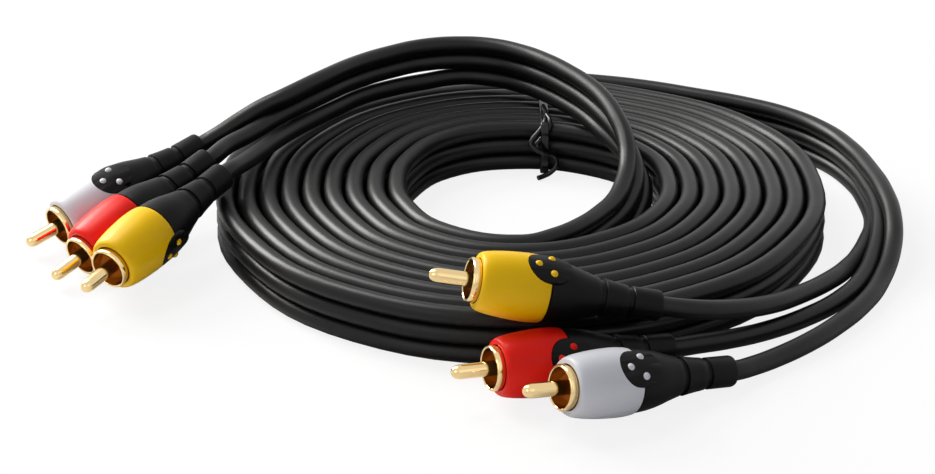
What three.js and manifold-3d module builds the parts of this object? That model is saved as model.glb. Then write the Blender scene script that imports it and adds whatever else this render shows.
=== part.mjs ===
// A coiled audio and video lead: three cords joined side by side, with a phono plug on each end of each cord.
// Millimetres, +Z up. The origin is on the floor, under the middle of the whole lead.
import * as THREE from "three";
import * as BufferGeometryUtils from "three/addons/utils/BufferGeometryUtils.js";
import Module from "manifold-3d";

const wasm = await Module();
wasm.setup();

// The gap that neighbouring pieces keep.
const gap = 0.3;

// Where the middle of the coil is, seen from the origin.
const coilCentre = [13.15, 18.1, 0];

// The cord: three strands, joined on edge in the coil.
const strandPitch = 4.3;
const tubeRadius = (strandPitch - gap) / 2;
const strandCount = 3;
const coilHeight = strandCount * strandPitch;
const tubeSides = 8;
const tubeSteps = 13;

// The coil, clockwise from its front: radius of the innermost edge and step from turn to turn, every 30 degrees.
const insideRadius = [33.1, 31.6, 27.8, 26.35, 27.7, 31.2, 32.6, 33.3, 33.3, 32.9, 34.0, 35.8];
const turnPitch = [4.77, 4.84, 4.98, 5.04, 4.9, 4.55, 4.41, 4.3, 4.75, 4.9, 4.85, 4.85];
const knotAngle = 360 / insideRadius.length;
const coilStart = -90;
const layersLeft = 9;
const layersRight = 8;
const leftSweep = 190;
const rightSweep = 360 - leftSweep;
const leftColumns = 18;
const rightColumns = 15;
const rampAngle = 1;
const ridgeDepth = 0.9;
const coilCornerRound = 0.5;

// The twist tie round the back of the coil, in a narrow slot.
const tieX = 7;
const tieWidth = 2.2;
const tieThickness = 0.8;
const tieSlotDepth = 1.2;

// Plug sizes, along its axis from the rim of the outer contact; the pin tip is ahead, the cord behind.
const pinRadius = 1.55;
const pinReach = 8.4;
const pinNose = 2.2;
const pinTailRadius = 0.9;
const pinTailLength = 2.5;
const contactRadius = 4.65;
const contactWall = 0.5;
const contactShow = 1.8;
const contactDepth = 12.3;
const contactFloor = 0.8;
const contactEyeRadius = 3.2;
const socketDepth = 7;
const gripLength = 14.3;
const gripFrontRadius = 5.75;
const gripRadius = 7.15;
const gripRearRadius = 6.8;
// Where along the grip, from its back, and how full it is there.
const gripShape = [[0.2, 0.97], [0.36, 1], [0.6, 0.84], [0.82, 0.58], [0.95, 0.3]];
const coreRadius = 4.9;
const coreBoreRadius = 3.2;
const coreLength = 5.5;
const bootFrontRadius = 6.6;
const bootWaistRadius = 4.9;
const bootNeckRadius = 4.2;
const bootTailRadius = 3.4;
const bootEndRadius = 3.3;
const bootLength = 25.7;
const bootWaistBack = 9.2;
const bootShoulderRadius = 6.3;
const bootShoulderBack = 3.5;
const bootGrooveBack = [12.3, 18.7];
const bootGrooveDepth = 0.45;
const bootGrooveWidth = 1;
const mouldRadius = 2.9;
const mouldTailLength = 7.5;
const tongueReach = 5;
const tongueTail = 4.6;
const tongueTailRadius = 6.65;
const tongueWidth = 8;
const tongueThickness = 0.6;
const pipRadius = 0.85;
const pipRise = 0.35;
const pipSpread = 2.1;
const pipAhead = [-0.3, 2.8];
const plugSides = 14;
const smallSides = 8;
const pipSides = 6;

// Stations along the joined cord, read from its middle strand: x, y, z and lean from upright in degrees.
const archStations = [
  [-57.1, 22.6, 19.4, 0], [-48.2, 31.4, 20.9, 0], [-40.0, 41.5, 21.1, 0], [-31.8, 48.9, 21.1, 0],
  [-23.3, 54.2, 21.1, 0], [-14.1, 56.0, 21.1, 0], [-6.0, 54.6, 21.1, 0], [1.3, 50.0, 21.1, 0],
  [7.9, 42.9, 21.1, 0], [13.0, 36.2, 20.7, 0], [17.3, 29.5, 20.1, 0], [21.0, 22.4, 19.0, 0],
  [24.3, 15.7, 17.2, -10], [26.9, 9.3, 14.6, -20], [27.8, 2.7, 11.6, -28], [26.4, -4.8, 9.0, -27],
  [23.2, -12.0, 7.1, -17], [19.0, -18.2, 6.5, -6], [14.0, -25.0, 6.45, 0], [7.5, -31.6, 6.45, 0],
  [0.7, -35.4, 6.45, 0],
];
const loopStations = [
  [13.4, 69.1, 6.45, 0], [22.3, 67.3, 6.45, 0], [34.3, 63.4, 6.45, 0], [46.8, 57.5, 6.45, 0],
  [58.2, 51.6, 6.45, 0], [68.7, 43.8, 6.45, 0], [76.9, 33.6, 6.45, -3], [81.9, 21.3, 6.45, -4],
  [84.2, 8.0, 6.45, 2], [84.8, -4.5, 6.35, 14], [83.6, -15.5, 5.5, 40], [80.8, -26.0, 3.8, 68],
  [76.6, -36.5, 2.5, 86], [70.4, -47.6, 2.3, 90],
];

// The six plugs: where the rim is, where the pin points, the turn of the tongue and the cord's free points.
const plugs = [
  {
    side: "left", tint: "white", row: 1, rim: [-107.75, -14.25, 5.6], azimuth: 219.8, pitch: -13.6, tongueTurn: -24,
    tail: [[-72.3, 14.6, 17.3], [-67.4, 18.2, 20.0], [-62.2, 20.8, 22.6]], joinsAt: 0,
  },
  {
    side: "left", tint: "red", row: 0, rim: [-100.1, -31.0, 5.45], azimuth: 228.3, pitch: -15.7, tongueTurn: 130,
    tail: [[-69.4, 6.0, 17.7], [-65.0, 12.6, 17.8]], joinsAt: 0,
  },
  {
    side: "left", tint: "yellow", row: -1, rim: [-91.75, -45.6, 9.05], azimuth: 236.1, pitch: -11.5, tongueTurn: -115,
    tail: [
      [-66.4, -5.8, 17.7], [-62.4, 4.0, 16.8], [-58.8, 12.7, 16.2], [-54.6, 20.7, 16.1], [-49.7, 27.6, 16.4],
      [-44.3, 34.8, 16.6], [-39.2, 41.6, 16.6], [-32.0, 47.9, 16.5], [-23.5, 53.0, 16.4],
    ],
    joinsAt: 5,
  },
  {
    side: "right", tint: "white", row: 1, rim: [6.15, -103.8, 9.85], azimuth: 208.5, pitch: 8.6, tongueTurn: -40,
    tail: [[47.2, -80.4, 2.8], [52.8, -75.4, 2.3], [60.8, -68.0, 2.3], [67.9, -59.7, 2.3], [75.2, -47.5, 2.3]], joinsAt: 13,
  },
  {
    side: "right", tint: "red", row: 0, rim: [-7.8, -92.6, 8.5], azimuth: 203, pitch: 4.7, tongueTurn: -60,
    tail: [[36.4, -73.3, 4.5], [42.9, -69.4, 3.6], [52.3, -63.0, 2.6], [62.4, -55.0, 2.3], [69.8, -47.3, 2.3]], joinsAt: 13,
  },
  {
    side: "right", tint: "yellow", row: -1, rim: [-12.1, -81.9, 23.6], azimuth: 190, pitch: 13, tongueTurn: -19,
    tail: [
      [34.4, -73.7, 12.9], [42.4, -69.6, 10.8], [52.3, -61.6, 8.1], [61.7, -50.8, 5.9], [70.2, -38.9, 4.2],
      [74.8, -31.0, 2.9],
    ],
    joinsAt: 12,
  },
];

const radians = THREE.MathUtils.degToRad;

// Materials
function plastic(colour, roughness) {
  return new THREE.MeshStandardMaterial({ color: colour, roughness, metalness: 0 });
}

function goldMetal() {
  return new THREE.MeshStandardMaterial({ color: 0xe0c078, roughness: 0.2, metalness: 1 });
}

const gripColours = { white: 0xd8d8e2, red: 0xd61c12, yellow: 0xf0be12 };
const cordMaterial = () => plastic(0x141414, 0.4);
const bootMaterial = () => plastic(0x1a1a1c, 0.6);
const gripMaterial = (tint) => plastic(gripColours[tint], 0.35);
const insulatorMaterial = () => plastic(0xb8763a, 0.5);

// Solids
function toSolid(geometry) {
  const bare = geometry.index ? geometry.toNonIndexed() : geometry.clone();
  bare.deleteAttribute("normal");
  bare.deleteAttribute("uv");
  const merged = BufferGeometryUtils.mergeVertices(bare, 1e-4);
  const mesh = new wasm.Mesh({
    numProp: 3,
    vertProperties: new Float32Array(merged.attributes.position.array),
    triVerts: new Uint32Array(merged.index.array),
  });
  return new wasm.Manifold(mesh);
}

function toGeometry(solid) {
  const mesh = solid.getMesh();
  const geometry = new THREE.BufferGeometry();
  geometry.setAttribute("position", new THREE.BufferAttribute(new Float32Array(mesh.vertProperties), 3));
  geometry.setIndex(new THREE.BufferAttribute(new Uint32Array(mesh.triVerts), 1));
  geometry.computeVertexNormals();
  return geometry;
}

function named(name, geometry, material) {
  const mesh = new THREE.Mesh(geometry, material);
  mesh.name = name;
  return mesh;
}

// A turned piece on the Z axis from [radius, z] pairs, listed so that the outside is walked towards +Z.
function turned(profile, sides) {
  const points = profile.map(([radius, z]) => new THREE.Vector2(radius, z));
  const geometry = new THREE.LatheGeometry(points, sides);
  geometry.rotateX(Math.PI / 2);
  return geometry;
}

// Values that repeat round the coil, with one step outwards on each new turn.
function knotRadius(knot) {
  const count = insideRadius.length;
  const turn = Math.floor(knot / count);
  const place = knot - turn * count;
  return insideRadius[place] + turn * turnPitch[place];
}

function knotPitch(knot) {
  const count = turnPitch.length;
  return turnPitch[((knot % count) + count) % count];
}

function smoothBetween(valueAt, place) {
  const knot = Math.floor(place);
  const t = place - knot;
  const [a, b, c, d] = [valueAt(knot - 1), valueAt(knot), valueAt(knot + 1), valueAt(knot + 2)];
  const bend = 2 * a - 5 * b + 4 * c - d;
  const twist = 3 * b - a - 3 * c + d;
  return 0.5 * (2 * b + (c - a) * t + bend * t * t + twist * t * t * t);
}

// The coil's section: share of the way from the inner edge to the outer edge, and height.
function coilProfile() {
  const share = ridgeDepth / (layersLeft * turnPitch[0]);
  const corner = coilCornerRound;
  const profile = [[share, 0], [1 - share, 0]];
  for (let strand = 0; strand < strandCount; strand += 1) {
    profile.push([1, (strand + 0.5) * strandPitch]);
    if (strand < strandCount - 1) profile.push([1 - share, (strand + 1) * strandPitch]);
  }
  profile.push([1 - share / 2, coilHeight - corner]);
  for (let layer = layersLeft - 1; layer >= 0; layer -= 1) {
    profile.push([(layer + 0.5) / layersLeft, coilHeight]);
    if (layer > 0) profile.push([layer / layersLeft, coilHeight - ridgeDepth]);
  }
  profile.push([share / 2, coilHeight - corner]);
  for (let strand = strandCount - 1; strand >= 0; strand -= 1) {
    profile.push([0, (strand + 0.5) * strandPitch]);
    if (strand > 0) profile.push([share, strand * strandPitch]);
  }
  profile.push([share, 0]);
  return profile;
}

// Each column of the coil, anticlockwise: sweep back from its front and how many turns lie side by side there.
function coilColumns() {
  const columns = [];
  for (let i = 0; i < leftColumns; i += 1) {
    const share = i / (leftColumns - 1);
    columns.push({ sweep: rampAngle / 2 + share * (leftSweep - rampAngle), layers: layersLeft });
  }
  for (let i = 0; i < rightColumns; i += 1) {
    const share = i / (rightColumns - 1);
    columns.push({ sweep: leftSweep + rampAngle / 2 + share * (rightSweep - rampAngle), layers: layersRight });
  }
  return columns.reverse();
}

// The ring of the coil, turned first and then pushed out to its real oval.
function coilRing() {
  const profile = coilProfile();
  const columns = coilColumns();
  const points = profile.map(([share, z]) => new THREE.Vector2(1 + share, z));
  const ring = new THREE.LatheGeometry(points, columns.length);
  const position = ring.attributes.position;
  for (let i = 0; i < position.count; i += 1) {
    const column = columns[Math.floor(i / profile.length) % columns.length];
    const [share, z] = profile[i % profile.length];
    const place = column.sweep / knotAngle;
    const inner = smoothBetween(knotRadius, place);
    const radius = inner + share * column.layers * smoothBetween(knotPitch, place);
    const angle = radians(coilStart - column.sweep);
    position.setXYZ(i, radius * Math.cos(angle), radius * Math.sin(angle), z);
  }
  return ring;
}

// The edge of the coil on the line x = tieX at the back, inside or outside.
function coilBackY(layers) {
  let angle = 90;
  let radius = 0;
  for (let round = 0; round < 8; round += 1) {
    const place = (270 - angle) / knotAngle;
    radius = smoothBetween(knotRadius, place) + layers * smoothBetween(knotPitch, place);
    angle = THREE.MathUtils.radToDeg(Math.acos(tieX / radius));
  }
  return radius * Math.sin(radians(angle));
}

function tieFrame(inset, thickness, width) {
  const near = coilBackY(0) + inset;
  const far = coilBackY(layersLeft) - inset;
  const low = inset;
  const high = coilHeight - inset;
  const outline = new THREE.Shape();
  outline.moveTo(near - thickness, low - thickness);
  outline.lineTo(far + thickness, low - thickness);
  outline.lineTo(far + thickness, high + thickness);
  outline.lineTo(near - thickness, high + thickness);
  outline.closePath();
  const hole = new THREE.Path();
  hole.moveTo(near, low);
  hole.lineTo(near, high);
  hole.lineTo(far, high);
  hole.lineTo(far, low);
  hole.closePath();
  outline.holes.push(hole);
  const frame = new THREE.ExtrudeGeometry(outline, { depth: width, bevelEnabled: false });
  frame.translate(0, 0, -width / 2);
  frame.rotateY(Math.PI / 2);
  frame.rotateX(Math.PI / 2);
  frame.translate(tieX, 0, 0);
  return frame;
}

function coilWithSlot() {
  const slotWidth = tieWidth + 2 * gap;
  const slot = tieFrame(tieSlotDepth, 4 * tieSlotDepth, slotWidth);
  return toGeometry(toSolid(coilRing()).subtract(toSolid(slot)));
}

function twistTie() {
  return tieFrame(tieSlotDepth - gap, tieThickness, tieWidth);
}

// Plug pieces, each on the Z axis with the rim at zero and the pin tip at +Z.
function centrePin() {
  const back = -contactDepth - contactFloor;
  const nose = pinReach - pinNose;
  const profile = [[0, back - pinTailLength], [pinTailRadius, back - pinTailLength], [pinTailRadius, back]];
  profile.push([pinRadius, back], [pinRadius, nose], [pinRadius * 0.87, nose + pinNose * 0.5]);
  profile.push([pinRadius * 0.5, nose + pinNose * 0.87], [0, pinReach]);
  return turned(profile, smallSides);
}

function insulator() {
  const bore = pinRadius + gap;
  const radius = contactRadius - contactWall - gap;
  const back = -contactDepth + contactFloor + gap;
  const profile = [[bore, back], [radius, back], [radius, -socketDepth], [bore, -socketDepth], [bore, back]];
  return turned(profile, smallSides);
}

function outerContact() {
  const inner = contactRadius - contactWall;
  const back = -contactDepth;
  const edge = contactWall * 0.3;
  const profile = [[contactEyeRadius, back], [contactRadius, back], [contactRadius, -edge]];
  profile.push([contactRadius - edge, 0], [inner + edge, 0], [inner, -edge], [inner, back + contactFloor]);
  profile.push([contactEyeRadius, back + contactFloor], [contactEyeRadius, back]);
  return turned(profile, plugSides);
}

const gripFront = -contactShow;
const gripBack = gripFront - gripLength;
const coreBack = gripBack - coreLength;
const bootFront = gripBack - gap;
const bootBack = gripBack - bootLength;

// The tongue of the boot: a stadium that lies over the seam with the grip, as a prism along +Y.
function tonguePrism(grow) {
  const half = tongueWidth / 2 + grow;
  const front = gripBack + tongueReach - tongueWidth / 2;
  const back = gripBack - tongueTail + tongueWidth / 2;
  const outline = new THREE.Shape();
  outline.moveTo(half, back);
  outline.lineTo(half, front);
  outline.absarc(0, front, half, 0, Math.PI, false);
  outline.lineTo(-half, back);
  outline.absarc(0, back, half, Math.PI, 2 * Math.PI, false);
  const depth = 2 * gripRadius;
  const prism = new THREE.ExtrudeGeometry(outline, { depth, bevelEnabled: false, curveSegments: 5 });
  prism.rotateX(Math.PI / 2);
  prism.translate(0, depth, 0);
  return toSolid(prism);
}

function eachPip(shape, height) {
  const spots = [[-pipSpread, pipAhead[0]], [pipSpread, pipAhead[0]], [0, pipAhead[1]]];
  return spots.map(([x, ahead]) => {
    const piece = shape.clone();
    piece.translate(x, height, gripBack + ahead);
    return toSolid(piece);
  });
}

function grip() {
  const bore = contactRadius + gap;
  const boreBack = -contactDepth - gap;
  const profile = [[coreBoreRadius, coreBack], [coreRadius, coreBack], [coreRadius, gripBack]];
  profile.push([gripRearRadius, gripBack]);
  for (const [share, fullness] of gripShape) {
    const radius = gripFrontRadius + fullness * (gripRadius - gripFrontRadius);
    profile.push([radius, gripBack + share * gripLength]);
  }
  profile.push([gripFrontRadius, gripFront], [bore, gripFront], [bore, boreBack]);
  profile.push([coreBoreRadius, boreBack], [coreBoreRadius, coreBack]);
  const floor = gripRadius - tongueThickness - gap;
  const outside = 2 * gripRadius;
  const ring = [[floor, gripBack - gap], [outside, gripBack - gap], [outside, gripFront], [floor, gripFront]];
  ring.push(ring[0]);
  const pocket = tonguePrism(gap).intersect(toSolid(turned(ring, plugSides)));
  let body = toSolid(turned(profile, plugSides)).subtract(pocket);
  const pipTop = gripRadius + pipRise;
  const pipFoot = coreRadius - 3 * gap;
  const pip = new THREE.CapsuleGeometry(pipRadius, pipTop - pipFoot - 2 * pipRadius, 2, pipSides);
  for (const solid of eachPip(pip, (pipTop + pipFoot) / 2)) body = body.add(solid);
  return toGeometry(body);
}

function grooveProfile(back, radius) {
  const middle = gripBack - back;
  const behind = middle - bootGrooveWidth / 2;
  const ahead = middle + bootGrooveWidth / 2;
  const floor = radius - bootGrooveDepth;
  return [[radius, behind], [floor, behind], [floor, ahead], [radius, ahead]];
}

function boot() {
  const chamber = coreRadius + gap;
  const cordBore = tubeRadius + gap;
  const mouldBore = mouldRadius + gap;
  const step = bootBack + mouldTailLength;
  const profile = [[cordBore, bootBack], [bootEndRadius - gap, bootBack], [bootEndRadius, bootBack + gap]];
  profile.push(...grooveProfile(bootGrooveBack[1], bootTailRadius));
  profile.push(...grooveProfile(bootGrooveBack[0], bootNeckRadius));
  profile.push([bootWaistRadius, gripBack - bootWaistBack], [bootShoulderRadius, gripBack - bootShoulderBack]);
  profile.push([bootFrontRadius, bootFront], [chamber, bootFront], [chamber, coreBack - gap]);
  profile.push([mouldBore, coreBack - gap], [mouldBore, step], [cordBore, step], [cordBore, bootBack]);
  const under = gripRadius - tongueThickness;
  const inside = chamber + gap;
  const tail = gripBack - tongueTail;
  const sheet = [[inside, tail], [tongueTailRadius, tail], [gripRadius, bootFront], [gripRadius, gripFront]];
  sheet.push([under, gripFront], [under, bootFront], [inside, bootFront], [inside, tail]);
  const tongue = tonguePrism(0).intersect(toSolid(turned(sheet, plugSides)));
  let body = toSolid(turned(profile, plugSides)).add(tongue);
  const hole = new THREE.CylinderGeometry(pipRadius + gap, pipRadius + gap, gripRadius, pipSides);
  for (const solid of eachPip(hole, gripRadius)) body = body.subtract(solid);
  return toGeometry(body);
}

function innerMould() {
  const front = coreBack - 2 * gap;
  const back = bootBack + gap;
  const step = bootBack + mouldTailLength + gap;
  const profile = [[0, back], [tubeRadius, back], [tubeRadius, step], [mouldRadius, step]];
  profile.push([mouldRadius, front], [0, front]);
  return turned(profile, smallSides);
}

function conductor() {
  const back = coreBack - gap;
  const front = -contactDepth - contactFloor - pinTailLength - gap;
  const profile = [[0, back], [pinTailRadius, back], [pinTailRadius, front], [0, front]];
  return turned(profile, pipSides);
}

// A plug stands at its rim, with its pin and its tongue turned as they lie on the floor or on the coil.
function plugForward({ azimuth, pitch }) {
  const level = Math.cos(radians(pitch));
  const [x, y] = [Math.cos(radians(azimuth)), Math.sin(radians(azimuth))];
  return new THREE.Vector3(level * x, level * y, Math.sin(radians(pitch)));
}

function plugGroup(plug) {
  const title = `${plug.side}_${plug.tint}`;
  const group = new THREE.Group();
  group.add(named(`${title}_centre_pin`, centrePin(), goldMetal()));
  group.add(named(`${title}_insulator`, insulator(), insulatorMaterial()));
  group.add(named(`${title}_outer_contact`, outerContact(), goldMetal()));
  group.add(named(`${title}_grip`, grip(), gripMaterial(plug.tint)));
  group.add(named(`${title}_boot`, boot(), bootMaterial()));
  group.add(named(`${title}_inner_mould`, innerMould(), bootMaterial()));
  group.add(named(`${title}_conductor`, conductor(), goldMetal()));
  const forward = plugForward(plug);
  const side = new THREE.Vector3().crossVectors(forward, new THREE.Vector3(0, 0, 1)).normalize();
  const top = new THREE.Vector3().crossVectors(side, forward);
  const turn = radians(plug.tongueTurn);
  const tongue = top.multiplyScalar(Math.cos(turn)).addScaledVector(side, Math.sin(turn));
  const across = new THREE.Vector3().crossVectors(tongue, forward);
  group.quaternion.setFromRotationMatrix(new THREE.Matrix4().makeBasis(across, tongue, forward));
  group.position.set(...plug.rim);
  return group;
}

// One strand's place at each station of the joined cord; row 1 is the top or outer strand.
function strandPoints(stations, row) {
  return stations.map(([x, y, z, lean], i) => {
    const before = stations[Math.max(i - 1, 0)];
    const after = stations[Math.min(i + 1, stations.length - 1)];
    const along = new THREE.Vector2(after[0] - before[0], after[1] - before[1]).normalize();
    const reach = row * strandPitch * Math.sin(radians(lean));
    const rise = row * strandPitch * Math.cos(radians(lean));
    return new THREE.Vector3(x - reach * along.y, y + reach * along.x, z + rise);
  });
}

function strandTube(plug) {
  const bootEnd = new THREE.Vector3(...plug.rim).addScaledVector(plugForward(plug), bootBack - gap);
  const tail = [bootEnd, ...plug.tail.map((point) => new THREE.Vector3(...point))];
  const isLeft = plug.side === "left";
  const joined = strandPoints(isLeft ? archStations : loopStations, plug.row);
  const points = isLeft ? [...tail, ...joined.slice(plug.joinsAt)]
    : [...joined.slice(0, plug.joinsAt), ...tail.reverse()];
  const route = new THREE.CatmullRomCurve3(points);
  const section = new THREE.Shape();
  for (let i = 0; i < tubeSides; i += 1) {
    const angle = 2 * Math.PI * i / tubeSides;
    const corner = [tubeRadius * Math.cos(angle), tubeRadius * Math.sin(angle)];
    if (i === 0) section.moveTo(...corner);
    else section.lineTo(...corner);
  }
  section.closePath();
  return new THREE.ExtrudeGeometry(section, { steps: tubeSteps, extrudePath: route });
}

// The whole lead
const lead = new THREE.Group();
const layout = new THREE.Group();
layout.position.set(...coilCentre);
lead.add(layout);
layout.add(named("coil", coilWithSlot(), cordMaterial()));
layout.add(named("twist_tie", twistTie(), bootMaterial()));
for (const plug of plugs) {
  layout.add(plugGroup(plug));
  layout.add(named(`strand_${plug.side}_${plug.tint}`, strandTube(plug), cordMaterial()));
}

export default lead;
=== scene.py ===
# A coiled audio and video lead with a phono plug on each end of its three strands
import math
import bpy
from mathutils import Matrix, Vector


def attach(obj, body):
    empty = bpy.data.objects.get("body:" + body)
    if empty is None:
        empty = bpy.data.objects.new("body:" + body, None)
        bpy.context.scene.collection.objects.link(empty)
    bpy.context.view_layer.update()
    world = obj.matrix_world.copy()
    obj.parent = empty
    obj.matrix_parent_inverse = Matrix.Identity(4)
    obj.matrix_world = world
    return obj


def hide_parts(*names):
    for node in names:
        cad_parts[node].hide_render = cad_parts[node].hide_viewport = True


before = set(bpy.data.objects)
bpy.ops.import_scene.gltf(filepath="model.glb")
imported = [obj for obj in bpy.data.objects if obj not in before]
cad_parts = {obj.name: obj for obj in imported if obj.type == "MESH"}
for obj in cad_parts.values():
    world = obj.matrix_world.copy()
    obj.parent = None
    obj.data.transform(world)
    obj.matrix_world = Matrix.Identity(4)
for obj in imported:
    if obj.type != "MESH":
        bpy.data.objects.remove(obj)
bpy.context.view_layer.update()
mm = 0.001
coilCentre = Vector((13.15, 18.1, 0))  # from the origin, in millimetres, as every size below is

print("camera")
cameraView = {"elevation": 24, "distance": 600, "lens": 97.87, "sensor": 36, "aim": (-12.2, -7.5, 0)}


def makeCamera(view):
    tilt = math.radians(view["elevation"])
    forward = Vector((0, math.cos(tilt), -math.sin(tilt)))
    data = bpy.data.cameras.new("camera")
    data.sensor_width = view["sensor"]
    data.sensor_fit = "HORIZONTAL"
    data.lens = view["lens"]
    data.clip_start = 10 * mm
    camera = bpy.data.objects.new("camera", data)
    bpy.context.scene.collection.objects.link(camera)
    camera.location = (Vector(view["aim"]) + coilCentre - forward * view["distance"]) * mm
    camera.rotation_euler = (math.radians(90) - tilt, 0, 0)
    bpy.context.scene.camera = camera


makeCamera(cameraView)

print("cord routes")
cordSize = {"strand": 4.3, "rows": {"white": 1, "red": 0, "yellow": -1}}
# Every 30 degrees, clockwise from the front of the coil: innermost edge, and step from turn to turn
coilShape = {
    "inside": (33.1, 31.6, 27.8, 26.35, 27.7, 31.2, 32.6, 33.3, 33.3, 32.9, 34.0, 35.8),
    "pitch": (4.77, 4.84, 4.98, 5.04, 4.9, 4.55, 4.41, 4.3, 4.75, 4.9, 4.85, 4.85),
    "start": -90, "knots": 102,
}
# Stations of the joined cord, read from its middle strand: x, y, z and lean from upright in degrees
archStations = (
    (-57.1, 22.6, 19.4, 0), (-48.2, 31.4, 20.9, 0), (-40.0, 41.5, 21.1, 0), (-31.8, 48.9, 21.1, 0),
    (-23.3, 54.2, 21.1, 0), (-14.1, 56.0, 21.1, 0), (-6.0, 54.6, 21.1, 0), (1.3, 50.0, 21.1, 0),
    (7.9, 42.9, 21.1, 0), (13.0, 36.2, 20.7, 0), (17.3, 29.5, 20.1, 0), (21.0, 22.4, 19.0, 0),
    (24.3, 15.7, 17.2, -10), (26.9, 9.3, 14.6, -20), (27.8, 2.7, 11.6, -28), (26.4, -4.8, 9.0, -27),
    (23.2, -12.0, 7.1, -17), (19.0, -18.2, 6.5, -6), (14.0, -25.0, 6.45, 0), (7.5, -31.6, 6.45, 0),
)
loopStations = (
    (13.4, 69.1, 6.45, 0), (22.3, 67.3, 6.45, 0), (34.3, 63.4, 6.45, 0), (46.8, 57.5, 6.45, 0),
    (58.2, 51.6, 6.45, 0), (68.7, 43.8, 6.45, 0), (76.9, 33.6, 6.45, -3), (81.9, 21.3, 6.45, -4),
    (84.2, 8.0, 6.45, 2), (84.8, -4.5, 6.35, 14), (83.6, -15.5, 5.5, 40), (80.8, -26.0, 3.8, 68),
    (76.6, -36.5, 2.5, 86), (70.4, -47.6, 2.3, 90),
)
# Where each plug's rim is, where its pin points, how its tongue is turned, the free points behind it,
# and how many stations of the joined cord its strand leaves out (left) or takes (right)
plugPlaces = {
    "left_white": {
        "rim": (-107.75, -14.25, 5.6), "azimuth": 219.8, "pitch": -13.6, "tongueTurn": -24, "joinsAt": 0,
        "tail": ((-72.3, 14.3, 17.2), (-67.2, 17.8, 19.6), (-62.1, 20.3, 22.0)),
    },
    "left_red": {
        "rim": (-100.1, -31.0, 5.45), "azimuth": 228.3, "pitch": -15.7, "tongueTurn": 130, "joinsAt": 0,
        "tail": ((-69.4, 6.2, 17.7), (-65.0, 12.7, 17.9)),
    },
    "left_yellow": {
        "rim": (-91.75, -45.6, 9.05), "azimuth": 236.1, "pitch": -11.5, "tongueTurn": -115, "joinsAt": 5,
        "tail": (
            (-65.4, -4.6, 17.3), (-61.9, 4.2, 16.7), (-58.6, 12.9, 16.2), (-54.6, 20.7, 16.1),
            (-49.7, 27.6, 16.4), (-44.3, 34.8, 16.6), (-39.2, 41.6, 16.6), (-32.0, 47.9, 16.5),
            (-23.5, 53.0, 16.4),
        ),
    },
    "right_white": {
        "rim": (6.15, -103.8, 9.85), "azimuth": 208.5, "pitch": 8.6, "tongueTurn": -40, "joinsAt": 13,
        "tail": (
            (47.2, -80.4, 2.8), (52.8, -75.4, 2.3), (60.8, -68.0, 2.3), (67.9, -59.7, 2.3),
            (75.6, -48.3, 2.3),
        ),
    },
    "right_red": {
        "rim": (-7.8, -92.6, 8.5), "azimuth": 203, "pitch": 4.7, "tongueTurn": -60, "joinsAt": 13,
        "tail": (
            (36.4, -73.3, 4.5), (42.9, -69.4, 3.6), (52.3, -63.0, 2.6), (62.4, -55.0, 2.3),
            (69.8, -47.3, 2.3),
        ),
    },
    "right_yellow": {
        "rim": (-12.1, -81.9, 23.6), "azimuth": 190, "pitch": 13, "tongueTurn": -19, "joinsAt": 12,
        "tail": (
            (34.4, -73.7, 12.9), (42.4, -69.6, 10.8), (52.3, -61.6, 8.1), (61.7, -50.8, 5.9),
            (70.2, -38.9, 4.2), (74.2, -30.9, 2.9),
        ),
    },
}
plugLength = {"behindRim": 41.8, "cordInside": 3, "straight": 1.5}


def pinDirection(place):
    azimuth = math.radians(place["azimuth"])
    pitch = math.radians(place["pitch"])
    level = math.cos(pitch)
    return Vector((level * math.cos(azimuth), level * math.sin(azimuth), math.sin(pitch)))


def bootEnd(place, further=0):
    return Vector(place["rim"]) - pinDirection(place) * (plugLength["behindRim"] + further)


def joinedPoints(stations, row):
    points = []
    for i, (x, y, z, lean) in enumerate(stations):
        before = stations[max(i - 1, 0)]
        after = stations[min(i + 1, len(stations) - 1)]
        along = Vector((after[0] - before[0], after[1] - before[1])).normalized()
        reach = row * cordSize["strand"] * math.sin(math.radians(lean))
        rise = row * cordSize["strand"] * math.cos(math.radians(lean))
        points.append(Vector((x - reach * along.y, y + reach * along.x, z + rise)))
    return points


def coilPoints(row):
    points = []
    count = len(coilShape["inside"])
    for knot in range(coilShape["knots"] + 1):
        turn, place = divmod(knot, count)
        pitch = coilShape["pitch"][place]
        radius = coilShape["inside"][place] + (turn + 0.5) * pitch
        angle = math.radians(coilShape["start"] - 360 * knot / count)
        height = (row + len(cordSize["rows"]) / 2) * cordSize["strand"]
        points.append(Vector((radius * math.cos(angle), radius * math.sin(angle), height)))
    return points


def strandRoute(tint):
    row = cordSize["rows"][tint]
    left = plugPlaces["left_" + tint]
    right = plugPlaces["right_" + tint]
    inside = plugLength["cordInside"]
    straight = plugLength["straight"]
    route = [bootEnd(left, -inside), bootEnd(left, straight)]
    route += [Vector(point) for point in left["tail"]]
    route += joinedPoints(archStations, row)[left["joinsAt"]:]
    route += coilPoints(row)
    route += joinedPoints(loopStations, row)[:right["joinsAt"]]
    route += [Vector(point) for point in reversed(right["tail"])]
    route += [bootEnd(right, straight), bootEnd(right, -inside)]
    return [(point + coilCentre) * mm for point in route]


def routeSpline(data, points, closed=False):
    # Each knot's radius is a millimetre, so the curve's own depths are in millimetres
    spline = data.splines.new("BEZIER")
    spline.bezier_points.add(len(points) - 1)
    spline.use_cyclic_u = closed
    for knot, point in zip(spline.bezier_points, points):
        knot.co = point
        knot.radius = mm
        knot.handle_left_type = "AUTO"
        knot.handle_right_type = "AUTO"


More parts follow.
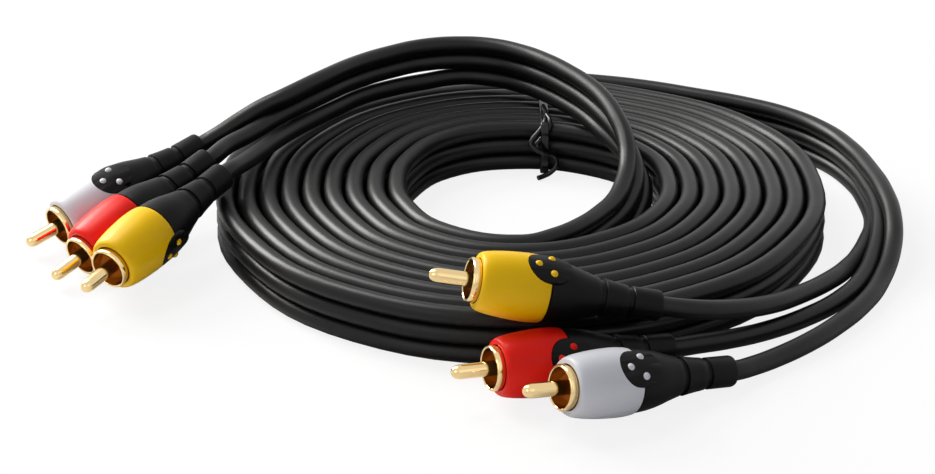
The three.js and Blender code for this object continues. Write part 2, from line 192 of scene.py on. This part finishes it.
def makeStrand(tint):
    data = bpy.data.curves.new("strand_" + tint, "CURVE")
    data.dimensions = "3D"
    data.bevel_depth = cordSize["strand"] / 2
    data.bevel_resolution = 6
    data.resolution_u = 6
    data.use_fill_caps = True
    routeSpline(data, strandRoute(tint))
    strand = bpy.data.objects.new("strand_" + tint, data)
    bpy.context.scene.collection.objects.link(strand)
    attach(strand, "root")
    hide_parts("strand_left_" + tint, "strand_right_" + tint)
    return strand


strands = {tint: makeStrand(tint) for tint in cordSize["rows"]}
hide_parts("coil")

print("finishes")


def startMaterial(name, colour, roughness, metallic=0, specular=0.5):
    material = bpy.data.materials.new(name)
    material.use_nodes = True
    shader = material.node_tree.nodes["Principled BSDF"]
    shader.inputs["Base Color"].default_value = (*colour, 1)
    shader.inputs["Roughness"].default_value = roughness
    shader.inputs["Metallic"].default_value = metallic
    shader.inputs["Specular IOR Level"].default_value = specular
    return material, material.node_tree, shader


# Nearly all of a noise texture's values lie between these two
noiseSpread = (0.35, 0.65)


def makeSurfaceGroup():
    # Soft unevenness of colour, gloss and height that moulded and plated surfaces share
    group = bpy.data.node_groups.new("mouldedSurface", "ShaderNodeTree")
    sockets = (
        ("Colour", "INPUT", "NodeSocketColor"), ("Patch Scale", "INPUT", "NodeSocketFloat"),
        ("Grain Scale", "INPUT", "NodeSocketFloat"), ("Gloss Low", "INPUT", "NodeSocketFloat"),
        ("Gloss High", "INPUT", "NodeSocketFloat"), ("Shade", "INPUT", "NodeSocketFloat"),
        ("Colour", "OUTPUT", "NodeSocketColor"), ("Roughness", "OUTPUT", "NodeSocketFloat"),
        ("Height", "OUTPUT", "NodeSocketFloat"),
    )
    for title, direction, kind in sockets:
        group.interface.new_socket(title, in_out=direction, socket_type=kind)
    nodes, links = group.nodes, group.links
    given = nodes.new("NodeGroupInput")
    put = nodes.new("NodeGroupOutput")
    place = nodes.new("ShaderNodeTexCoord")
    patches = nodes.new("ShaderNodeTexNoise")
    patches.inputs["Detail"].default_value = 3
    grain = nodes.new("ShaderNodeTexNoise")
    grain.inputs["Detail"].default_value = 2
    for noise, scale in ((patches, "Patch Scale"), (grain, "Grain Scale")):
        links.new(place.outputs["Object"], noise.inputs["Vector"])
        links.new(given.outputs[scale], noise.inputs["Scale"])
    gloss = nodes.new("ShaderNodeMapRange")
    gloss.inputs["From Min"].default_value, gloss.inputs["From Max"].default_value = noiseSpread
    links.new(patches.outputs["Fac"], gloss.inputs["Value"])
    links.new(given.outputs["Gloss Low"], gloss.inputs["To Min"])
    links.new(given.outputs["Gloss High"], gloss.inputs["To Max"])
    darker = nodes.new("ShaderNodeMix")
    darker.data_type = "RGBA"
    darker.blend_type = "MULTIPLY"
    tone = nodes.new("ShaderNodeMath")
    tone.operation = "MULTIPLY"
    links.new(patches.outputs["Fac"], tone.inputs[0])
    links.new(given.outputs["Shade"], tone.inputs[1])
    links.new(tone.outputs[0], darker.inputs["Factor"])
    links.new(given.outputs["Colour"], darker.inputs["A"])
    darker.inputs["B"].default_value = (0, 0, 0, 1)
    links.new(darker.outputs["Result"], put.inputs["Colour"])
    links.new(gloss.outputs["Result"], put.inputs["Roughness"])
    links.new(grain.outputs["Fac"], put.inputs["Height"])
    return group


surfaceGroup = makeSurfaceGroup()


def makeMoulded(name, finish):
    material, tree, shader = startMaterial(
        name, finish["colour"], finish["gloss"][0], finish.get("metallic", 0), finish.get("specular", 0.5)
    )
    surface = tree.nodes.new("ShaderNodeGroup")
    surface.node_tree = surfaceGroup
    surface.inputs["Colour"].default_value = (*finish["colour"], 1)
    surface.inputs["Patch Scale"].default_value = finish["patches"]
    surface.inputs["Grain Scale"].default_value = finish["grain"]
    surface.inputs["Gloss Low"].default_value = finish["gloss"][0]
    surface.inputs["Gloss High"].default_value = finish["gloss"][1]
    surface.inputs["Shade"].default_value = finish["shade"]
    bump = tree.nodes.new("ShaderNodeBump")
    bump.inputs["Distance"].default_value = finish["depth"] * mm
    bump.inputs["Strength"].default_value = 0.5
    tree.links.new(surface.outputs["Colour"], shader.inputs["Base Color"])
    tree.links.new(surface.outputs["Roughness"], shader.inputs["Roughness"])
    tree.links.new(surface.outputs["Height"], bump.inputs["Height"])
    tree.links.new(bump.outputs["Normal"], shader.inputs["Normal"])
    return material


finishes = {
    "cord": {
        "colour": (0.003, 0.003, 0.0031), "gloss": (0.36, 0.43), "patches": 60, "grain": 1400,
        "shade": 0.3, "depth": 0.03, "specular": 0.23,
    },
    "boot": {
        "colour": (0.0032, 0.0032, 0.0032), "gloss": (0.36, 0.46), "patches": 90, "grain": 2500,
        "shade": 0.3, "depth": 0.05, "specular": 0.1,
    },
    "grip_white": {
        "colour": (0.6, 0.6, 0.64), "gloss": (0.38, 0.46), "patches": 80, "grain": 1800,
        "shade": 0.04, "depth": 0.03, "specular": 0.4,
    },
    "grip_red": {
        "colour": (0.8, 0.01, 0.004), "gloss": (0.34, 0.42), "patches": 80, "grain": 1800,
        "shade": 0.1, "depth": 0.03, "specular": 0.16,
    },
    "grip_yellow": {
        "colour": (0.84, 0.5, 0.001), "gloss": (0.34, 0.42), "patches": 80, "grain": 1800,
        "shade": 0.1, "depth": 0.03, "specular": 0.18,
    },
    "gold": {
        "colour": (0.8, 0.6, 0.3), "gloss": (0.1, 0.17), "patches": 200, "grain": 3000,
        "shade": 0.08, "depth": 0.01, "metallic": 1,
    },
    # The insulator colour is its own orange-brown made lighter: painted light standing in for the
    # reflections that brighten the deep socket
    "insulator": {
        "colour": (0.95, 0.4, 0.08), "gloss": (0.35, 0.45), "patches": 150, "grain": 2000,
        "shade": 0.2, "depth": 0.02,
    },
    "tie": {
        "colour": (0.004, 0.004, 0.0042), "gloss": (0.22, 0.3), "patches": 90, "grain": 2000,
        "shade": 0.3, "depth": 0.03, "specular": 0.3,
    },
}
materials = {name: makeMoulded(name, finish) for name, finish in finishes.items()}
for strand in strands.values():
    strand.data.materials.append(materials["cord"])

print("plug pieces")


def finishEdit():
    bpy.ops.mesh.select_all(action="SELECT")
    bpy.ops.mesh.remove_doubles(threshold=0.000002)
    bpy.ops.mesh.normals_make_consistent(inside=False)
    bpy.ops.object.mode_set(mode="OBJECT")
    bpy.ops.object.transform_apply(location=True, rotation=True, scale=True)


def turnPiece(name, profile, sides=56, smooth=35):
    # A circle is extruded and resized along the profile; (radius, height) pairs, a zero radius is a pole
    bpy.ops.object.select_all(action="DESELECT")
    startRadius, height = profile[0]
    bpy.ops.mesh.primitive_circle_add(vertices=sides, radius=startRadius * mm, location=(0, 0, height * mm))
    piece = bpy.context.object
    piece.name = name
    bpy.ops.object.mode_set(mode="EDIT")
    bpy.ops.mesh.select_all(action="SELECT")
    radius = startRadius
    for nextRadius, nextHeight in profile[1:]:
        rise = (nextHeight - height) * mm
        bpy.ops.mesh.extrude_region_move(TRANSFORM_OT_translate={"value": (0, 0, rise)})
        if nextRadius == 0:
            bpy.ops.mesh.merge(type="CENTER")
            break
        ratio = nextRadius / radius
        bpy.ops.transform.resize(value=(ratio, ratio, 1), center_override=(0, 0, nextHeight * mm))
        radius, height = nextRadius, nextHeight
    finishEdit()
    bpy.ops.object.shade_smooth_by_angle(angle=math.radians(smooth))
    return piece


def applyModifier(piece, kind, **settings):
    bpy.ops.object.select_all(action="DESELECT")
    piece.select_set(True)
    bpy.context.view_layer.objects.active = piece
    modifier = piece.modifiers.new("step", kind)
    for setting, value in settings.items():
        setattr(modifier, setting, value)
    bpy.ops.object.modifier_apply(modifier=modifier.name)


def cutWith(piece, cutter, operation):
    applyModifier(piece, "BOOLEAN", operation=operation, object=cutter, solver="EXACT")
    bpy.data.objects.remove(cutter)


# Lengths along a plug are counted from the rim of its outer contact, forwards
pinSize = {
    "radius": 1.55, "reach": 8.4, "nose": 2.2, "back": -13.1, "steps": 7, "roundness": 0.8,
    "backEye": 0.02, "sides": 32,
}


def makePin():
    nose = pinSize["reach"] - pinSize["nose"]
    profile = [(pinSize["backEye"], pinSize["back"]), (pinSize["radius"], pinSize["back"])]
    profile += [(pinSize["radius"], nose)]
    for i in range(1, pinSize["steps"]):
        angle = math.radians(90 * i / pinSize["steps"])
        radius = pinSize["radius"] * math.cos(angle) ** pinSize["roundness"]
        profile.append((radius, nose + pinSize["nose"] * math.sin(angle)))
    profile.append((0, pinSize["reach"]))
    return turnPiece("centre_pin", profile, pinSize["sides"])


contactSize = {
    "radius": 4.65, "wall": 0.5, "depth": 12.3, "floor": 0.8, "eye": 3.2, "edge": 0.14,
    # A low bead round the outside
    "bead": {"rise": 0.12, "foot": -1.2, "back": -0.9, "front": -0.35},
}


def makeContact():
    outer = contactSize["radius"]
    inner = outer - contactSize["wall"]
    back = -contactSize["depth"]
    floor = back + contactSize["floor"]
    edge = contactSize["edge"]
    bead = contactSize["bead"]
    profile = [(contactSize["eye"], back), (outer, back), (outer, bead["foot"])]
    profile += [(outer + bead["rise"], bead["back"]), (outer + bead["rise"], bead["front"])]
    profile += [(outer, -edge), (outer - edge, 0), (inner + edge, 0), (inner, -edge)]
    profile += [(inner, floor), (contactSize["eye"], floor), (contactSize["eye"], back)]
    return turnPiece("outer_contact", profile)


insulatorSize = {
    "bore": 1.6, "radius": 4.1, "back": -11.2, "front": -7, "edge": 0.3,
    "boss": {"foot": 2.6, "top": 2.4, "rise": 0.5}, "sides": 40,
}


def makeInsulator():
    size = insulatorSize
    front = size["front"]
    edge = size["edge"]
    boss = size["boss"]
    top = front + boss["rise"]
    profile = [(size["bore"], size["back"]), (size["radius"], size["back"]), (size["radius"], front - edge)]
    profile += [(size["radius"] - edge, front), (boss["foot"], front), (boss["top"], top)]
    profile += [(size["bore"], top), (size["bore"], size["back"])]
    return turnPiece("insulator", profile, size["sides"])


gripSize = {
    "front": -1.8, "back": -16.1, "bore": 4.8, "boreBack": -12.6, "core": 4.9, "coreBore": 3.2,
    "coreBack": -21.6, "frontRadius": 5.55, "rearRadius": 6.8, "sides": 72,
    # How far in and how far along each rounded edge goes
    "frontEdge": (0.3, 0.2), "rearEdge": (0.15, 0.12),
    # (radius, distance behind the front face)
    "body": (
        (6.12, 0.7), (6.38, 1.65), (6.62, 3.05), (6.82, 4.7), (6.98, 6.5), (7.1, 8.5), (7.15, 10.4),
        (7.1, 12.1), (6.98, 13.35), (6.86, 14.05),
    ),
}
tongueSize = {
    "reach": 5, "tail": 4.6, "width": 8, "top": 7.17, "tailTop": 6.65, "under": 6.5, "inside": 5.5,
    "slit": 0.16, "step": 0.3, "edge": 0.18, "sides": 48,
    # The block that the tongue and its pocket are cut from
    "block": {"middle": 8, "depth": 6},
}
# The ring of the grip's wall that the tongue's pocket takes away
pocketSize = {"floor": 6.4, "outside": 11, "behind": 0.2}
# Each spot is how far across and how far ahead of the grip's back it is
pipSize = {"radius": 0.85, "rise": 0.4, "flatness": 0.8, "spots": ((-2.1, -0.3), (2.1, -0.3), (0, 2.8))}


def makeTongueBlock(grow):
    # A stadium that stands through the wall along +Y, made from two round blocks and a straight one
    size = tongueSize
    block = size["block"]
    half = size["width"] / 2 + grow
    front = gripSize["back"] + size["reach"] - size["width"] / 2
    back = gripSize["back"] - size["tail"] + size["width"] / 2
    rounds = []
    for height in (front, back):
        bpy.ops.object.select_all(action="DESELECT")
        bpy.ops.mesh.primitive_cylinder_add(
            vertices=size["sides"], radius=half * mm, depth=block["depth"] * mm,
            location=(0, block["middle"] * mm, height * mm), rotation=(math.radians(90), 0, 0),
        )
        rounds.append(bpy.context.object)
        bpy.ops.object.transform_apply(location=True, rotation=True, scale=True)
    bpy.ops.mesh.primitive_cube_add(size=1, location=(0, block["middle"] * mm, (front + back) / 2 * mm))
    bar = bpy.context.object
    bar.scale = (2 * half * mm, block["depth"] * mm, (front - back) * mm)
    bpy.ops.object.transform_apply(location=True, rotation=True, scale=True)
    cutWith(rounds[0], bar, "UNION")
    cutWith(rounds[0], rounds[1], "UNION")
    return rounds[0]


def makeGrip():
    size = gripSize
    front = size["front"]
    rearIn, rearAlong = size["rearEdge"]
    frontIn, frontAlong = size["frontEdge"]
    profile = [(size["coreBore"], size["coreBack"]), (size["core"], size["coreBack"])]
    profile += [(size["core"], size["back"]), (size["rearRadius"] - rearIn, size["back"])]
    profile += [(size["rearRadius"], size["back"] + rearAlong)]
    profile += [(radius, front - behind) for radius, behind in reversed(size["body"])]
    profile += [(size["frontRadius"] + frontIn, front - frontAlong), (size["frontRadius"], front)]
    profile += [(size["bore"], front), (size["bore"], size["boreBack"])]
    profile += [(size["coreBore"], size["boreBack"]), (size["coreBore"], size["coreBack"])]
    grip = turnPiece("grip", profile, size["sides"])
    pocket = makeTongueBlock(tongueSize["slit"])
    floor = pocketSize["floor"]
    outside = pocketSize["outside"]
    back = size["back"] - pocketSize["behind"]
    ring = [(floor, back), (outside, back), (outside, front), (floor, front), (floor, back)]
    cutWith(pocket, turnPiece("ring", ring, size["sides"]), "INTERSECT")
    cutWith(grip, pocket, "DIFFERENCE")
    bpy.ops.object.shade_smooth_by_angle(angle=math.radians(35))
    return grip


def makePips():
    size = pipSize
    bpy.ops.object.select_all(action="DESELECT")
    parts = []
    for x, ahead in size["spots"]:
        top = math.sqrt(tongueSize["top"] ** 2 - x ** 2) + size["rise"]
        bpy.ops.mesh.primitive_uv_sphere_add(segments=20, ring_count=12, radius=size["radius"] * mm)
        pip = bpy.context.object
        pip.scale = (1, size["flatness"], 1)
        middle = top - size["radius"] * size["flatness"]
        pip.location = (x * mm, middle * mm, (gripSize["back"] + ahead) * mm)
        bpy.ops.object.transform_apply(location=True, rotation=True, scale=True)
        parts.append(pip)
    for pip in parts:
        pip.select_set(True)
    bpy.context.view_layer.objects.active = parts[0]
    bpy.ops.object.join()
    bpy.ops.object.shade_smooth()
    parts[0].name = "pips"
    return parts[0]


def makeTongue():
    size = tongueSize
    tongue = makeTongueBlock(0)
    front = gripSize["front"]
    tail = gripSize["back"] - size["tail"]
    step = gripSize["back"] - size["step"]
    sheet = [(size["inside"], tail), (size["tailTop"], tail), (size["top"], step), (size["top"], front)]
    sheet += [(size["under"], front), (size["under"], step), (size["inside"], step), (size["inside"], tail)]
    cutWith(tongue, turnPiece("sheet", sheet, gripSize["sides"]), "INTERSECT")
    applyModifier(
        tongue, "BEVEL", width=size["edge"] * mm, segments=2,
        limit_method="ANGLE", angle_limit=math.radians(50),
    )
    bpy.ops.object.shade_smooth_by_angle(angle=math.radians(40))
    tongue.name = "tongue"
    return tongue


bootSize = {
    "front": -16.35, "back": -41.8, "frontRadius": 6.62, "bore": 2.2, "chamber": 5.1, "chamberBack": -21.9,
    "edge": 0.15, "sides": 64,
    # (radius, distance behind the grip) from the rear forwards, with the two strain relief grooves
    "body": (
        (3.0, 25.7), (3.22, 25.5), (3.32, 25.1), (3.34, 19.4), (3.24, 19.3), (2.9, 19.2), (2.9, 18.2),
        (3.3, 18.1), (3.42, 17.95), (3.6, 16.4), (3.85, 14.6), (4.12, 13.05), (4.02, 12.9), (3.65, 12.8),
        (3.65, 11.8), (4.1, 11.7), (4.24, 11.5), (4.5, 10.5), (4.85, 9.2), (5.25, 7.9), (5.65, 6.6),
        (6.02, 5.1), (6.32, 3.5), (6.5, 1.9), (6.6, 0.8),
    ),
}


def makeBoot():
    size = bootSize
    back = gripSize["back"]
    profile = [(size["bore"], size["back"])]
    profile += [(radius, back - behind) for radius, behind in size["body"]]
    profile += [(size["frontRadius"], size["front"] - size["edge"])]
    profile += [(size["frontRadius"] - size["edge"], size["front"])]
    profile += [(size["chamber"], size["front"]), (size["chamber"], size["chamberBack"])]
    profile += [(size["bore"], size["chamberBack"]), (size["bore"], size["back"])]
    return turnPiece("boot", profile, size["sides"])


def plugMatrix(place):
    forward = pinDirection(place)
    side = forward.cross(Vector((0, 0, 1))).normalized()
    top = side.cross(forward)
    turn = math.radians(place["tongueTurn"])
    tongue = top * math.cos(turn) + side * math.sin(turn)
    across = tongue.cross(forward)
    matrix = Matrix((across, tongue, forward)).transposed().to_4x4()
    matrix.translation = (Vector(place["rim"]) + coilCentre) * mm
    return matrix


patterns = {
    "centre_pin": (makePin(), "gold"), "outer_contact": (makeContact(), "gold"),
    "insulator": (makeInsulator(), "insulator"), "grip": (makeGrip(), "grip"), "pips": (makePips(), "grip"),
    "tongue": (makeTongue(), "boot"), "boot": (makeBoot(), "boot"),
}


def placePlug(title, place):
    tint = title.split("_")[1]
    matrix = plugMatrix(place)
    pieces = []
    for part, (pattern, slotName) in patterns.items():
        piece = pattern.copy()
        piece.data = pattern.data.copy()
        piece.name = "fine_" + title + "_" + part
        bpy.context.scene.collection.objects.link(piece)
        piece.data.transform(matrix)
        slotName = "grip_" + tint if slotName == "grip" else slotName
        piece.data.materials.clear()
        piece.data.materials.append(materials[slotName])
        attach(piece, "root")
        if part not in ("pips", "tongue"):
            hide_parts(title + "_" + part)
        pieces.append(piece)
    for part, finish in (("inner_mould", "boot"), ("conductor", "gold")):
        node = bpy.data.objects[title + "_" + part]
        node.data.materials.clear()
        node.data.materials.append(materials[finish])
        pieces.append(node)
    return pieces


plugs = {title: placePlug(title, place) for title, place in plugPlaces.items()}
for pattern, _ in patterns.values():
    bpy.data.objects.remove(pattern)

print("twist tie")
tieSize = {
    "x": 7, "halfWidth": 0.7, "halfThickness": 0.36, "wire": 0.62,
    # (y, z) round the section of the coil
    "band": (
        (31.0, 0.8), (30.9, 6.5), (31.2, 12.4), (33.4, 13.4), (42, 13.35), (52, 13.3), (62, 13.35),
        (70.2, 13.4), (72.5, 12.2), (72.8, 6.5), (72.4, 0.8), (70.5, 0.42), (52, 0.4), (33, 0.42),
    ),
    # The twisted ends, down the inside of the coil
    "ends": (
        (
            (6.8, 41.8, 14.1), (7.4, 36.8, 14.0), (7.1, 33.4, 13.5), (6.0, 31.4, 12.0), (4.8, 30.2, 10.9),
            (3.8, 29.6, 9.8), (3.5, 29.0, 8.7), (4.5, 28.6, 7.8), (5.8, 28.6, 7.0),
        ),
        (
            (7.6, 35.4, 14.2), (8.3, 32.8, 13.4), (7.5, 31.2, 10.8), (5.8, 30.8, 9.3), (5.0, 29.4, 8.0),
            (6.5, 28.9, 6.6), (8.6, 30.0, 5.6), (9.8, 29.7, 4.4), (9.8, 29.2, 3.0), (8.6, 28.7, 1.6),
            (6.8, 27.8, 0.9), (5.3, 26.9, 0.7),
        ),
    ),
}


def makeTie():
    band = bpy.data.curves.new("tie_band", "CURVE")
    band.dimensions = "2D"
    band.fill_mode = "NONE"
    band.extrude = tieSize["halfWidth"]
    band.bevel_depth = tieSize["halfThickness"]
    band.bevel_resolution = 3
    band.resolution_u = 6
    routeSpline(band, [(y * mm, z * mm, 0) for y, z in tieSize["band"]], closed=True)
    ends = bpy.data.curves.new("tie_ends", "CURVE")
    ends.dimensions = "3D"
    ends.bevel_depth = tieSize["wire"]
    ends.bevel_resolution = 4
    ends.resolution_u = 8
    ends.use_fill_caps = True
    for points in tieSize["ends"]:
        routeSpline(ends, [(Vector(point) + coilCentre) * mm for point in points])
    pieces = []
    for data in (band, ends):
        data.materials.append(materials["tie"])
        piece = bpy.data.objects.new(data.name, data)
        bpy.context.scene.collection.objects.link(piece)
        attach(piece, "root")
        pieces.append(piece)
    # The band is drawn flat, then its length across goes to X, and its two ways round to Y and Z
    bpy.ops.object.select_all(action="DESELECT")
    pieces[0].select_set(True)
    bpy.context.view_layer.objects.active = pieces[0]
    bpy.ops.object.convert(target="MESH")
    place = Matrix(((0, 0, 1), (1, 0, 0), (0, 1, 0))).to_4x4()
    place.translation = (Vector((tieSize["x"], 0, 0)) + coilCentre) * mm
    pieces[0].data.transform(place)
    return pieces


tiePieces = makeTie()
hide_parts("twist_tie")

print("cord facts")


def routeLength(points):
    return sum((b - a).length for a, b in zip(points, points[1:]))


for tint, strand in strands.items():
    print(tint, "strand", round(routeLength(strandRoute(tint)), 3), "m along its points")

print("floor, background and lamps")
# The floor in metres across, and how far in millimetres it lies under the lead; the rest are shares
stageSize = {"floor": 6.0, "sunk": 0.02, "white": 0.8, "plain": 0.85, "ambient": 0.28}


def seenPlainly(tree):
    # What the camera, metal and clear parts see
    path = tree.nodes.new("ShaderNodeLightPath")
    total = path.outputs["Is Camera Ray"]
    for ray in ("Is Glossy Ray", "Is Transmission Ray"):
        seen = tree.nodes.new("ShaderNodeMath")
        seen.operation = "MAXIMUM"
        tree.links.new(total, seen.inputs[0])
        tree.links.new(path.outputs[ray], seen.inputs[1])
        total = seen.outputs[0]
    return total


def makeWorld():
    world = bpy.data.worlds.new("studio")
    world.use_nodes = True
    tree = world.node_tree
    tree.nodes.clear()
    out = tree.nodes.new("ShaderNodeOutputWorld")
    lighting = tree.nodes.new("ShaderNodeBackground")
    lighting.inputs["Color"].default_value = (0.93, 0.95, 1, 1)
    lighting.inputs["Strength"].default_value = stageSize["ambient"]
    white = tree.nodes.new("ShaderNodeBackground")
    white.inputs["Color"].default_value = (1, 1, 1, 1)
    white.inputs["Strength"].default_value = 1
    mix = tree.nodes.new("ShaderNodeMixShader")
    tree.links.new(seenPlainly(tree), mix.inputs["Fac"])
    tree.links.new(lighting.outputs[0], mix.inputs[1])
    tree.links.new(white.outputs[0], mix.inputs[2])
    tree.links.new(mix.outputs[0], out.inputs["Surface"])
    bpy.context.scene.world = world


def makeFloor():
    bpy.ops.object.select_all(action="DESELECT")
    bpy.ops.mesh.primitive_plane_add(size=stageSize["floor"], location=(0, 0, -stageSize["sunk"] * mm))
    floor = bpy.context.object
    floor.name = "floor"
    material, tree, shader = startMaterial("floor", (stageSize["white"],) * 3, 0.9, 0, 0.1)
    # To the camera the floor is nearly plain white and keeps a faint shadow
    white = tree.nodes.new("ShaderNodeEmission")
    white.inputs["Color"].default_value = (1, 1, 1, 1)
    white.inputs["Strength"].default_value = 1
    share = tree.nodes.new("ShaderNodeMath")
    share.operation = "MULTIPLY"
    share.inputs[1].default_value = stageSize["plain"]
    path = tree.nodes.new("ShaderNodeLightPath")
    mix = tree.nodes.new("ShaderNodeMixShader")
    tree.links.new(path.outputs["Is Camera Ray"], share.inputs[0])
    tree.links.new(share.outputs[0], mix.inputs["Fac"])
    tree.links.new(shader.outputs[0], mix.inputs[1])
    tree.links.new(white.outputs[0], mix.inputs[2])
    tree.links.new(mix.outputs[0], tree.nodes["Material Output"].inputs["Surface"])
    floor.data.materials.append(material)


lampPlaces = (
    {"name": "key", "at": (-0.7, 0.6, 0.56), "size": (0.5, 0.6), "power": 15, "colour": (1, 0.99, 0.96)},
    {"name": "top", "at": (-0.4, 0.34, 0.95), "size": (0.5, 0.5), "power": 5.5, "colour": (1, 1, 0.98)},
    {"name": "fill", "at": (0.5, -0.8, 0.6), "size": (0.8, 0.8), "power": 0.5, "colour": (0.97, 0.98, 1)},
    {"name": "front", "at": (-0.6, -0.8, 0.6), "size": (0.8, 0.8), "power": 1.4, "colour": (1, 1, 1)},
)


def makeLamp(lamp):
    data = bpy.data.lights.new(lamp["name"], "AREA")
    data.shape = "ELLIPSE"
    data.size, data.size_y = lamp["size"]
    data.energy = lamp["power"]
    data.color = lamp["colour"]
    light = bpy.data.objects.new(lamp["name"], data)
    bpy.context.scene.collection.objects.link(light)
    light.location = lamp["at"]
    light.rotation_euler = (Vector((0, 0, 0)) - Vector(lamp["at"])).to_track_quat("-Z", "Y").to_euler()


makeWorld()
makeFloor()
for lamp in lampPlaces:
    makeLamp(lamp)
bpy.context.scene.view_settings.view_transform = "Standard"

bpy.context.view_layer.update()
